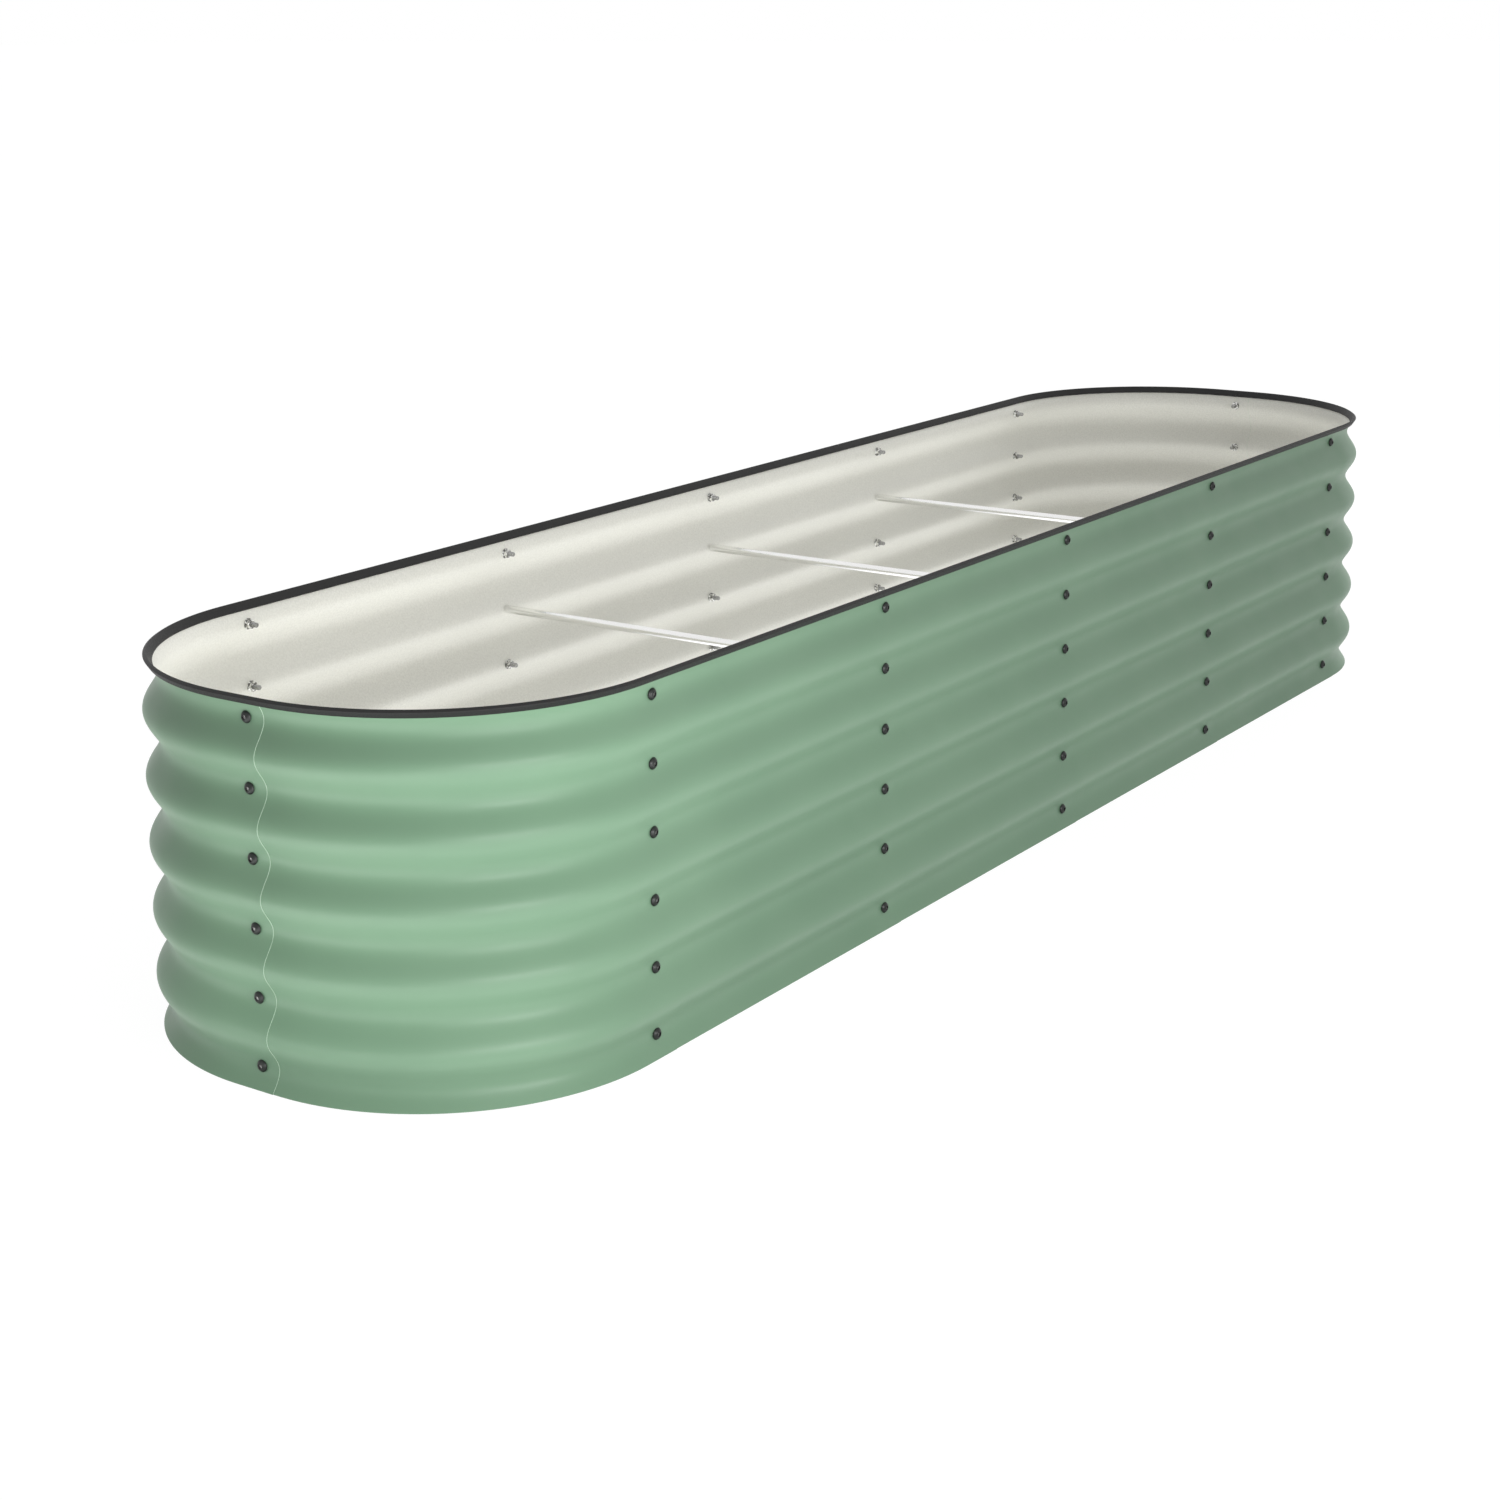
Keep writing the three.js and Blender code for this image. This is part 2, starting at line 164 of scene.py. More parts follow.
# %% Camera
CAMERA_PLACE = Vector((-2.92760, -1.77277, 1.05981))
CAMERA_AZIMUTH, CAMERA_ELEVATION, CAMERA_ROLL = (math.radians(a) for a in (-55.840, 11.163, -0.397))
FOCAL_LENGTH, SENSOR_WIDTH, UPRIGHT_SHIFT = 61.271, 36.0, -0.1533
back = Vector((
    math.sin(CAMERA_AZIMUTH) * math.cos(CAMERA_ELEVATION),
    -math.cos(CAMERA_AZIMUTH) * math.cos(CAMERA_ELEVATION),
    math.sin(CAMERA_ELEVATION),
))
right = Vector((math.cos(CAMERA_AZIMUTH), math.sin(CAMERA_AZIMUTH), 0))
aim = Matrix((right, back.cross(right), back)).transposed() @ Matrix.Rotation(CAMERA_ROLL, 3, "Z")
camera = bpy.data.objects.new("camera", bpy.data.cameras.new("camera"))
camera.matrix_world = Matrix.Translation(CAMERA_PLACE) @ aim.to_4x4()
camera.data.sensor_width = SENSOR_WIDTH
camera.data.lens = FOCAL_LENGTH
camera.data.shift_y = UPRIGHT_SHIFT
bpy.context.scene.collection.objects.link(camera)
bpy.context.scene.camera = camera
middle = Vector((cad_low + cad_high) / 2)
print("camera", round((CAMERA_PLACE - middle).length, 2), "m from the middle of the bed")

# %% [markdown]
# ## Writing node trees as sums
#
# Geometry and finishes are both made of node trees, and a formula made of Math nodes is hard to read
# in a script. Two small helpers keep it short: one adds a node and fills its sockets, and the other
# lets a wire be added, multiplied and so on, as if it were a number.

# %% Helpers for node trees
def plug(tree, value, socket):
    """Links a wire or an output to a socket, or writes a plain value into it."""
    source = getattr(value, "socket", value)
    if isinstance(source, bpy.types.NodeSocket):
        tree.links.new(source, socket)
    else:
        socket.default_value = source


def add_node(tree, kind, plugs=None, **settings):
    """A new node with its settings made and its sockets filled."""
    made = tree.nodes.new(kind)
    for name, value in settings.items():
        setattr(made, name, value)
    for key, value in (plugs or {}).items():
        plug(tree, value, made.inputs[key])
    return made


class Wire:
    """A number on a wire of a node tree. Sums written with it become Math nodes."""

    def __init__(self, tree, socket):
        self.tree, self.socket = tree, socket

    def calc(self, operation, *others):
        made = self.tree.nodes.new("ShaderNodeMath")
        made.operation = operation
        for value, socket in zip((self, *others), made.inputs):
            plug(self.tree, value, socket)
        return Wire(self.tree, made.outputs[0])

    def __add__(self, other):
        return self.calc("ADD", other)

    def __mul__(self, other):
        return self.calc("MULTIPLY", other)

    def __sub__(self, other):
        return self.calc("SUBTRACT", other)

    def __truediv__(self, other):
        return self.calc("DIVIDE", other)

    def __rsub__(self, other):
        return self * -1 + other

    __radd__, __rmul__ = __add__, __mul__

    def cos(self):
        return self.calc("COSINE")

    def sin(self):
        return self.calc("SINE")


def out_of(tree, node, name):
    """The wire that comes out of a node's output."""
    return Wire(tree, node.outputs[name])


def parts_of(tree, kind):
    """A node that splits a kind of input node's vector, such as each point's position, into X, Y and Z."""
    return add_node(tree, "ShaderNodeSeparateXYZ", {0: tree.nodes.new(kind).outputs[0]})


# %% [markdown]
# ## Trees that make geometry
#
# A geometry tree works on a host object, reads its sizes from named inputs, and is read out once as
# a plain mesh. The host is then deleted, so no modifier is left on a finished piece.

# %% Helpers for geometry trees
INPUT_KINDS = {
    float: "NodeSocketFloat", int: "NodeSocketInt", Vector: "NodeSocketVector",
    bpy.types.Material: "NodeSocketMaterial", bpy.types.Object: "NodeSocketObject",
}


def new_geometry_tree(name, inputs):
    """An empty tree with named inputs; returns the tree, a wire for each input, and its output node."""
    tree = bpy.data.node_groups.new(name, "GeometryNodeTree")
    tree.interface.new_socket("Geometry", in_out="INPUT", socket_type="NodeSocketGeometry")
    tree.interface.new_socket("Geometry", in_out="OUTPUT", socket_type="NodeSocketGeometry")
    for label, kind in inputs.items():
        tree.interface.new_socket(label, in_out="INPUT", socket_type=INPUT_KINDS[kind])
    start, end = tree.nodes.new("NodeGroupInput"), tree.nodes.new("NodeGroupOutput")
    given = {socket.name: Wire(tree, socket) for socket in start.outputs if socket.name}
    return tree, given, end


def grow(name, tree, values, host=None):
    """Runs a tree on a host object and returns a new object that holds the result as a plain mesh."""
    host = host or bpy.data.objects.new("host", bpy.data.meshes.new("host"))
    if not host.users_collection:
        bpy.context.scene.collection.objects.link(host)
    modifier = host.modifiers.new("form", "NODES")
    modifier.node_group = tree
    for item in tree.interface.items_tree:
        if item.item_type == "SOCKET" and item.in_out == "INPUT" and item.name in values:
            modifier[item.identifier] = values[item.name]
    depsgraph = bpy.context.evaluated_depsgraph_get()
    mesh = bpy.data.meshes.new_from_object(host.evaluated_get(depsgraph), depsgraph=depsgraph)
    bpy.data.objects.remove(host)
    mesh.name = name
    piece = bpy.data.objects.new(name, mesh)
    bpy.context.scene.collection.objects.link(piece)
    return piece


# %% [markdown]
# ## Finishes
#
# The sheets are steel with a baked satin paint, sage green outside and warm white inside. Paint is
# never perfectly even: its tone drifts a little over a hand's length, and its skin has the faint
# dimples called orange peel. The inside coat also has a fine grain. All patterns are noise on the
# object's own coordinates, so they stay in place from every side.

# %% Helpers for finishes
def new_finish(name, roughness, metallic=0.0, specular=0.5):
    """A material with plain numbers set; returns it with its tree, shader and object coordinates."""
    finish = bpy.data.materials.new(name)
    finish.use_nodes = True
    tree = finish.node_tree
    shader = next(n for n in tree.nodes if n.type == "BSDF_PRINCIPLED")
    shader.inputs["Roughness"].default_value = roughness
    shader.inputs["Metallic"].default_value = metallic
    shader.inputs["Specular IOR Level"].default_value = specular
    return finish, tree, shader, tree.nodes.new("ShaderNodeTexCoord").outputs["Object"]


def noise(tree, coordinates, size, detail=2.0, stretch=None):
    """Even noise whose blots are about the given size in metres, optionally stretched along an axis."""
    if stretch:
        stretched = add_node(tree, "ShaderNodeMapping", {"Vector": coordinates, "Scale": stretch})
        coordinates = stretched.outputs[0]
    return add_node(tree, "ShaderNodeTexNoise", {
        "Vector": coordinates, "Scale": 1 / size, "Detail": detail,
    }).outputs[0]


def between(tree, amount, low, high, start=0.3, end=0.7):
    """A value that runs from low to high as the amount runs from start to end."""
    return add_node(tree, "ShaderNodeMapRange", {
        "Value": amount, "From Min": start, "From Max": end, "To Min": low, "To Max": high,
    }).outputs[0]


def blend_of(tree, amount, first, second):
    """A colour between two colours."""
    made = add_node(tree, "ShaderNodeMix", {"Factor": amount}, data_type="RGBA")
    colours = [s for s in made.inputs if s.type == "RGBA"]
    for socket, colour in zip(colours, (first, second)):
        plug(tree, colour if isinstance(colour, bpy.types.NodeSocket) else (*colour, 1), socket)
    return next(s for s in made.outputs if s.type == "RGBA")


def lay_on(tree, shader, colour, roughness=None, relief=None, depth=0.0):
    """Links a colour, a roughness and a relief, whose depth is in metres, to a finish's shader."""
    tree.links.new(colour, shader.inputs["Base Color"])
    if roughness is not None:
        tree.links.new(roughness, shader.inputs["Roughness"])
    if relief is not None:
        bump = add_node(tree, "ShaderNodeBump", {"Height": relief, "Distance": depth, "Strength": 1.0})
        tree.links.new(bump.outputs[0], shader.inputs["Normal"])


# %% Green paint outside
GREEN_LIGHT, GREEN_DEEP = (0.206, 0.345, 0.226), (0.186, 0.319, 0.207)
green_paint, tree, shader, where = new_finish("sage_green_paint", roughness=0.42, specular=0.35)
drift = noise(tree, where, size=0.22, detail=3)
peel = noise(tree, where, size=0.006, detail=1)
sheen = noise(tree, where, size=0.05)
lay_on(tree, shader, blend_of(tree, between(tree, drift, 0, 1), GREEN_DEEP, GREEN_LIGHT),
       roughness=between(tree, sheen, 0.38, 0.46), relief=peel, depth=0.00004)
print("outside:", green_paint.name)

# %% Warm white paint inside
CREAM_LIGHT, CREAM_DEEP = (0.93, 0.927, 0.862), (0.83, 0.827, 0.765)
cream_paint, tree, shader, where = new_finish("warm_white_paint", roughness=0.5)
grain = noise(tree, where, size=0.0022, detail=3)
drift = noise(tree, where, size=0.15, detail=3)
tone = blend_of(tree, between(tree, grain, 0, 1, 0.35, 0.65), CREAM_DEEP, CREAM_LIGHT)
lay_on(tree, shader, blend_of(tree, between(tree, drift, 0, 0.25), tone, CREAM_DEEP),
       roughness=between(tree, grain, 0.42, 0.58), relief=grain, depth=0.00005)
print("inside:", cream_paint.name)

# %% [markdown]
# The sheets' cut edges show as fine pale lines, and the rubber of the strip is nearly black, with a
# dull skin. Neither has a pattern that can be seen from afar, so a little fine noise is enough.

# %% Cut edges and rubber
EDGE_DEEP, EDGE_LIGHT = (0.66, 0.80, 0.67), (0.80, 0.90, 0.80)
edge_paint, tree, shader, where = new_finish("pale_cut_edge", roughness=0.4, metallic=0.2)
lay_on(tree, shader, blend_of(tree, noise(tree, where, size=0.004), EDGE_DEEP, EDGE_LIGHT))

RUBBER_DEEP, RUBBER_LIGHT = (0.010, 0.010, 0.010), (0.018, 0.018, 0.018)
rubber, tree, shader, where = new_finish("dark_rubber", roughness=0.55, specular=0.3)
skin = noise(tree, where, size=0.0015, detail=3)
lay_on(tree, shader, blend_of(tree, noise(tree, where, size=0.08), RUBBER_DEEP, RUBBER_LIGHT),
       roughness=between(tree, skin, 0.48, 0.66), relief=skin, depth=0.00006)
print("edges:", edge_paint.name, "and", rubber.name)

# %% [markdown]
# The bolts' heads are blackened. Their bare ends and key sockets are darker than the nuts: that steel
# paints shade into the thread's grooves, and in the socket, lighter than the black head, it paints a
# highlight. The nuts' zinc has bright and dull patches, stronger than its own tone, which paint in its
# reflections. The rods are drawn and polished, so their pattern is stretched along them. One noise
# gives each of these metals its tone, its roughness and its relief.

# %% Metals
BLACK_DEEP, BLACK_LIGHT = (0.006, 0.008, 0.007), (0.014, 0.017, 0.015)
black_finish, tree, shader, where = new_finish("blackened_steel", roughness=0.35, specular=0.4)
fine = noise(tree, where, size=0.0012, detail=3)
lay_on(tree, shader, blend_of(tree, fine, BLACK_DEEP, BLACK_LIGHT),
       roughness=between(tree, fine, 0.28, 0.44), relief=fine, depth=0.00003)

# The bright and dull patches are much stronger than zinc's own tone: they paint in the nuts' bright and
# dark reflections.
ZINC_DEEP, ZINC_LIGHT = (0.22, 0.22, 0.21), (0.97, 0.97, 0.95)
zinc, tree, shader, where = new_finish("bright_zinc", roughness=0.3, metallic=1.0)
fine = noise(tree, where, size=0.003, detail=3)
zinc_tone_and_painted_reflection = between(tree, fine, 0, 1, 0.42, 0.58)
lay_on(tree, shader, blend_of(tree, zinc_tone_and_painted_reflection, ZINC_DEEP, ZINC_LIGHT),
       roughness=between(tree, fine, 0.22, 0.40), relief=fine, depth=0.00003)

# This darker steel paints shade into the thread's grooves, and on the socket, lighter than the black head,
# it paints a highlight.
THREAD_DEEP, THREAD_LIGHT = (0.10, 0.10, 0.10), (0.60, 0.60, 0.58)
thread_shade_and_socket_highlight, tree, shader, where = new_finish("thread_shade_and_socket_highlight_paint", roughness=0.3, metallic=1.0)
fine = noise(tree, where, size=0.0015, detail=3)
lay_on(tree, shader, blend_of(tree, fine, THREAD_DEEP, THREAD_LIGHT),
       roughness=between(tree, fine, 0.25, 0.40), relief=fine, depth=0.00002)

ROD_DEEP, ROD_LIGHT = (0.80, 0.80, 0.79), (0.90, 0.90, 0.89)
polished, tree, shader, where = new_finish("polished_rod", roughness=0.15, metallic=1.0)
drawn = noise(tree, where, size=0.0008, detail=2, stretch=(1, 0.02, 1))
lay_on(tree, shader, blend_of(tree, drawn, ROD_DEEP, ROD_LIGHT),
       roughness=between(tree, drawn, 0.10, 0.22), relief=drawn, depth=0.00001)
print("metals:", [finish.name for finish in (black_finish, zinc, thread_shade_and_socket_highlight, polished)])

# %% [markdown]
# ## The corrugated sheets
#
# A real sheet is rolled to a wave, and four of the twelve are also bent round a quarter turn. Both
# kinds follow one rule. Take a flat slab, measure how far each point is along it, up it and into it,
# and write where rolling and bending would carry that point. That is a Set Position node with the
# rule on it, so one tree makes straight and round sheets, and a change of radius or wave is one
# number. Drawing the wave as a curve and sweeping it would need a second way for the laps, where a
# sheet starts under its neighbour and ends over the next one: here that is one more term of the rule.

# %% Tree for a sheet
sheet_tree, given, end = new_geometry_tree("corrugated sheet", {
    "Pitch": float, "Lap reach": float, "Lap step": float, "Height": float, "Thickness": float,
    "Wave height": float, "Wave depth": float, "First valley": float,
    "Straight": float, "Radius": float, "Turn": float, "Columns": int, "Levels": int,
    "Place": Vector, "Heading": float,
    "Outside": bpy.types.Material, "Inside": bpy.types.Material, "Edge": bpy.types.Material,
})
tree = sheet_tree
length = given["Pitch"] + 2 * given["Lap reach"]
slab_size = add_node(tree, "ShaderNodeCombineXYZ", {0: length, 1: given["Thickness"], 2: given["Height"]})
slab = add_node(tree, "GeometryNodeMeshCube", {
    "Size": slab_size.outputs[0],
    "Vertices X": given["Columns"], "Vertices Y": 2, "Vertices Z": given["Levels"],
})
facing = add_node(tree, "GeometryNodeCaptureAttribute", {"Geometry": slab.outputs["Mesh"]}, domain="FACE")
facing.capture_items.new("FLOAT", "Facing")
plug(tree, parts_of(tree, "GeometryNodeInputNormal").outputs["Y"], facing.inputs["Facing"])

on_slab = parts_of(tree, "GeometryNodeInputPosition")
along = out_of(tree, on_slab, "X") + length / 2 - given["Lap reach"]
inward = out_of(tree, on_slab, "Y") + given["Thickness"] / 2
up = out_of(tree, on_slab, "Z") + given["Height"] / 2
phase = (up - given["First valley"]) / given["Wave height"] * math.tau
wave = (1 - phase.cos()) * given["Wave depth"] / 2
level = ((along + given["Lap reach"]) / length - 0.5) * given["Lap step"]
out = wave + level - inward
straight, radius, turn = given["Straight"], given["Radius"], given["Turn"]
bent = ((along - straight) / radius).calc("MAXIMUM", 0.0).calc("MINIMUM", turn)
before = along.calc("MINIMUM", straight)
after = (along - straight - radius * turn).calc("MAXIMUM", 0.0)
rolled = add_node(tree, "ShaderNodeCombineXYZ", {
    0: before + (radius + out) * bent.sin() + after * turn.cos(),
    1: radius - (radius + out) * bent.cos() + after * turn.sin(),
    2: up,
})
formed = add_node(tree, "GeometryNodeSetPosition", {
    "Geometry": facing.outputs["Geometry"], "Position": rolled.outputs[0],
})

# %% [markdown]
# The slab's faces remember which way they faced before they were bent: -1 outside, 1 inside and 0 on
# the cut edges. That chooses their paint, and it keeps the cut edges sharp and the rest smooth.

# %% Smooth the sheet, put it in its place and paint it
ON_A_SIDE = 0.5                 # past this value a face lies on a side, and below it on a cut edge
ON_AN_ARRIS = 0.75              # where a side meets a cut edge, the mean of the two is below this
side = out_of(tree, facing, "Facing").calc("ABSOLUTE")
smoothed = add_node(tree, "GeometryNodeSetShadeSmooth", {
    "Geometry": formed.outputs[0], "Shade Smooth": side.calc("GREATER_THAN", ON_A_SIDE),
})
creased = add_node(tree, "GeometryNodeSetShadeSmooth", {
    "Geometry": smoothed.outputs[0], "Selection": side.calc("LESS_THAN", ON_AN_ARRIS),
    "Shade Smooth": False,
}, domain="EDGE")
turned = add_node(tree, "ShaderNodeCombineXYZ", {2: given["Heading"]})
placed = add_node(tree, "GeometryNodeTransform", {
    "Geometry": creased.outputs[0], "Translation": given["Place"], "Rotation": turned.outputs[0],
})
painted = add_node(tree, "GeometryNodeRealizeInstances", {"Geometry": placed.outputs[0]})
for coat, chosen in (
    ("Edge", True),
    ("Outside", out_of(tree, facing, "Facing").calc("LESS_THAN", -ON_A_SIDE)),
    ("Inside", out_of(tree, facing, "Facing").calc("GREATER_THAN", ON_A_SIDE)),
):
    painted = add_node(tree, "GeometryNodeSetMaterial", {
        "Geometry": painted.outputs[0], "Material": given[coat], "Selection": chosen,
    })
plug(tree, painted.outputs[0], end.inputs[0])
print("sheet tree:", len(tree.nodes), "nodes")

# %% [markdown]
# Each sheet is grown on its own, because it is a piece of its own on the real bed. A straight sheet
# needs few columns of faces, and a round one needs about one for every two degrees. The levels are
# close enough together that the wave's outline stays smooth near the camera.

# %% Grow the twelve sheets
ROUND_COLUMNS, STRAIGHT_COLUMNS, LEVELS = 56, 14, 138
sheet_pieces = {}
for (name, pitch), place in zip(sheets, places):
    spot, heading = wall_at(joints[place])
    is_round = name.startswith("corner")
    sheet_pieces[name] = grow(f"{name}_rolled", sheet_tree, {
        "Pitch": pitch, "Lap reach": LAP_REACH, "Lap step": LAP_STEP, "Height": SHEET_HEIGHT,
        "Thickness": SHEET, "Wave height": WAVE_HEIGHT, "Wave depth": WAVE_DEPTH,
        "First valley": row_height(ROWS), "Straight": TAB, "Radius": CORNER_RADIUS,
        "Turn": math.pi / 2 if is_round else 0.0,
        "Columns": ROUND_COLUMNS if is_round else STRAIGHT_COLUMNS, "Levels": LEVELS,
        "Place": spot, "Heading": heading,
        "Outside": green_paint, "Inside": cream_paint, "Edge": edge_paint,
    })
print("sheets:", {name: len(piece.data.polygons) for name, piece in sheet_pieces.items()})

# %% [markdown]
# ## Turned and hexagonal bodies
#
# Bolts, nuts, washers and rods are all made on a lathe or from hexagonal bar, so each can be
# described as a stack of rings round one axis. A ring may be a circle or a hexagon, and its points
# may be set forward or back, which gives the bevel of a nut and the helix of a thread. These bodies
# are small, so their sizes are written in millimetres.

# %% Helper for bodies made of rings
SIDES = 24
CREASE_OVER = math.radians(35)  # edges that are bent further than this stay sharp


def ring(at, radius):
    """Points round the X axis. Both values may be plain numbers or functions of the angle."""
    points = []
    for i in range(SIDES):
        angle = math.tau * i / SIDES
        x = at(angle) if callable(at) else at
        r = radius(angle) if callable(radius) else radius
        points.append((x * MM, r * math.cos(angle) * MM, r * math.sin(angle) * MM))
    return points


def hexagon(flats):
    """Radius of a hexagon, as a function of the angle, from its width across the flats."""
    return lambda angle: flats / 2 / math.cos((angle % (math.pi / 3)) - math.pi / 6)


def body_of_rings(name, stacks, finish):
    """A mesh object from stacks of rings. A stack closes at its ends, or on itself if it is a loop."""
    bm = bmesh.new()
    for rings, is_loop in stacks:
        rows = [[bm.verts.new(p) for p in points] for points in rings]
        pairs = list(zip(rows, rows[1:])) + ([(rows[-1], rows[0])] if is_loop else [])
        for low, high in pairs:
            for i in range(SIDES):
                j = (i + 1) % SIDES
                bm.faces.new((low[i], low[j], high[j], high[i]))
        if not is_loop:
            bm.faces.new(rows[0])
            bm.faces.new(rows[-1])
    bmesh.ops.recalc_face_normals(bm, faces=bm.faces)
    for face in bm.faces:
        face.smooth = True
    mesh = bpy.data.meshes.new(name)
    bm.to_mesh(mesh)
    bm.free()
    mesh.set_sharp_from_angle(angle=CREASE_OVER)
    mesh.materials.append(finish)
    return bpy.data.objects.new(name, mesh)


# %% [markdown]
# ## The bolt
#
# A button-head bolt has a low dome with a hexagonal key socket in it. Only its head shows outside
# and only its threaded end shows inside. The thread is a ridge that climbs one pitch per turn: on
# each ring, the radius depends on the angle and the height together, and that makes the helix.

# %% Make one bolt's shank
HEAD_RADIUS, HEAD_HEIGHT, SOCKET_FLATS, SOCKET_DEPTH = 6.5, 3.8, 4.4, 1.8
SHANK_RADIUS, BOLT_LENGTH, THREAD_PITCH, THREAD_DEPTH = 3.0, 17.0, 1.0, 0.36


def ridge(at):
    """Radius of the thread at a height, as a function of the angle."""
    def radius(angle):
        phase = (at / THREAD_PITCH + angle / math.tau) % 1
        return SHANK_RADIUS - THREAD_DEPTH * abs(2 * phase - 1)
    return radius


TIP_LENGTH, TIP_BEVEL, TIP_STEP = 0.7, 0.9, 0.25
THREAD_RINGS, RINGS_PER_TURN, THREAD_START, THREAD_END = 27, 3, 1.0, -6.4
rings = [
    ring(-BOLT_LENGTH, SHANK_RADIUS - TIP_BEVEL), ring(-BOLT_LENGTH + TIP_LENGTH, SHANK_RADIUS - TIP_STEP),
]
for i in range(THREAD_RINGS):
    at = -BOLT_LENGTH + THREAD_START + i / RINGS_PER_TURN * THREAD_PITCH
    rings.append(ring(at, ridge(at)))
PLAIN_RADIUS = SHANK_RADIUS - 0.1
rings += [ring(THREAD_END, PLAIN_RADIUS), ring(0, PLAIN_RADIUS)]
print("shank:", len(rings), "rings")

# %% [markdown]
# The head is a thin brim, a dome of a few rings that ends flat, and the socket, whose mouth is
# bevelled and whose floor is a drill's blunt cone. The faces of the shank and of the socket are
# marked, because the tree for fasteners gives them the finish of the thread, which paints shade into
# the thread and a highlight into the socket.

# %% Make its head and close it
BRIM_HEIGHT, BRIM_ROUND = 0.8, 0.25
DOME_STEPS, DOME_SHARE, DOME_POWER, DOME_TOP_RADIUS = 6, 0.92, 0.55, 3.0
MOUTH_BEVEL, MOUTH_DEPTH, CONE_DEPTH, CONE_TIP_RADIUS = 0.3, 0.2, 0.5, 0.4
rings += [ring(0, HEAD_RADIUS - BRIM_ROUND), ring(BRIM_ROUND, HEAD_RADIUS), ring(BRIM_HEIGHT, HEAD_RADIUS)]
for i in range(1, DOME_STEPS + 1):
    share = i / DOME_STEPS * DOME_SHARE
    rise = math.sin(share * math.pi / 2) / math.sin(DOME_SHARE * math.pi / 2)
    dome_radius = HEAD_RADIUS * (1 - share) ** DOME_POWER if i < DOME_STEPS else DOME_TOP_RADIUS
    rings.append(ring(BRIM_HEIGHT + (HEAD_HEIGHT - BRIM_HEIGHT) * rise, dome_radius))
socket_floor = HEAD_HEIGHT - SOCKET_DEPTH
rings += [
    ring(HEAD_HEIGHT, hexagon(SOCKET_FLATS + MOUTH_BEVEL)),
    ring(HEAD_HEIGHT - MOUTH_DEPTH, hexagon(SOCKET_FLATS)),
    ring(socket_floor, hexagon(SOCKET_FLATS)), ring(socket_floor - CONE_DEPTH, CONE_TIP_RADIUS),
]
bolt = body_of_rings("bolt_pattern", [(rings, False)], black_finish)
WELL_INSIDE_SOCKET = SOCKET_FLATS / 2 * 0.9 * MM
# Marks the faces for that finish: the shank, for the painted shade in its thread, and the socket, for the
# painted highlight in it.
threaded = bolt.data.attributes.new("threaded", "BOOLEAN", "FACE")
threaded.data.foreach_set("value", [
    face.center.x < 0 or face.center.yz.length < WELL_INSIDE_SOCKET for face in bolt.data.polygons
])
print("bolt:", len(bolt.data.polygons), "faces")

# %% [markdown]
# ## The nut and its washer
#
# Inside the bed each bolt has a flat washer and a hexagonal nut. A nut's corners are bevelled on the
# lathe: a cone cuts them, so the bevel reaches further down at a corner than at a flat. On a ring of
# points that is one formula, which moves a point back by how far it lies outside the cone's circle.

# %% Make one nut with its washer
WASHER_RADIUS, WASHER_THICKNESS, NUT_FLATS, NUT_HEIGHT, NUT_BORE = 6.5, 1.2, 10.0, 5.0, 3.15
WASHER_HOLE, WASHER_ROUND, UNDER_NUT, BORE_BEVEL = 3.3, 0.2, 0.02, 0.4
BEVEL_SLOPE, BEVEL_START = math.tan(math.radians(30)), NUT_FLATS / 2 * 0.97
across = hexagon(NUT_FLATS)
nut_foot, nut_top = -WASHER_THICKNESS - UNDER_NUT, -WASHER_THICKNESS - NUT_HEIGHT
washer_rings = [
    ring(0, WASHER_HOLE), ring(0, WASHER_RADIUS - WASHER_ROUND),
    ring(-WASHER_ROUND, WASHER_RADIUS), ring(WASHER_ROUND - WASHER_THICKNESS, WASHER_RADIUS),
    ring(-WASHER_THICKNESS, WASHER_RADIUS - WASHER_ROUND), ring(-WASHER_THICKNESS, WASHER_HOLE),
]
nut_rings = [
    ring(nut_foot, NUT_BORE), ring(nut_foot, BEVEL_START),
    ring(lambda a: nut_foot - (across(a) - BEVEL_START) * BEVEL_SLOPE, across),
    ring(lambda a: nut_top + (across(a) - BEVEL_START) * BEVEL_SLOPE, across),
    ring(nut_top, BEVEL_START), ring(nut_top, NUT_BORE + BORE_BEVEL), ring(nut_top + BORE_BEVEL, NUT_BORE),
]
nut = body_of_rings("nut_pattern", [(washer_rings, True), (nut_rings, True)], zinc)
print("nut and washer:", len(nut.data.polygons), "faces")

# %% [markdown]
# ## Setting out the fasteners
#
# There is a bolt in every valley at every joint: twelve joints and six rows. Where a tie rod meets
# the wall, the bolt goes into the rod and there is no nut. A cloud of points marks the places, and
# each point knows the wall's heading there. A tree puts the pattern on every point, turns it to face
# out of the wall, and spins it by a seeded random amount, as a hand with a key would leave it.

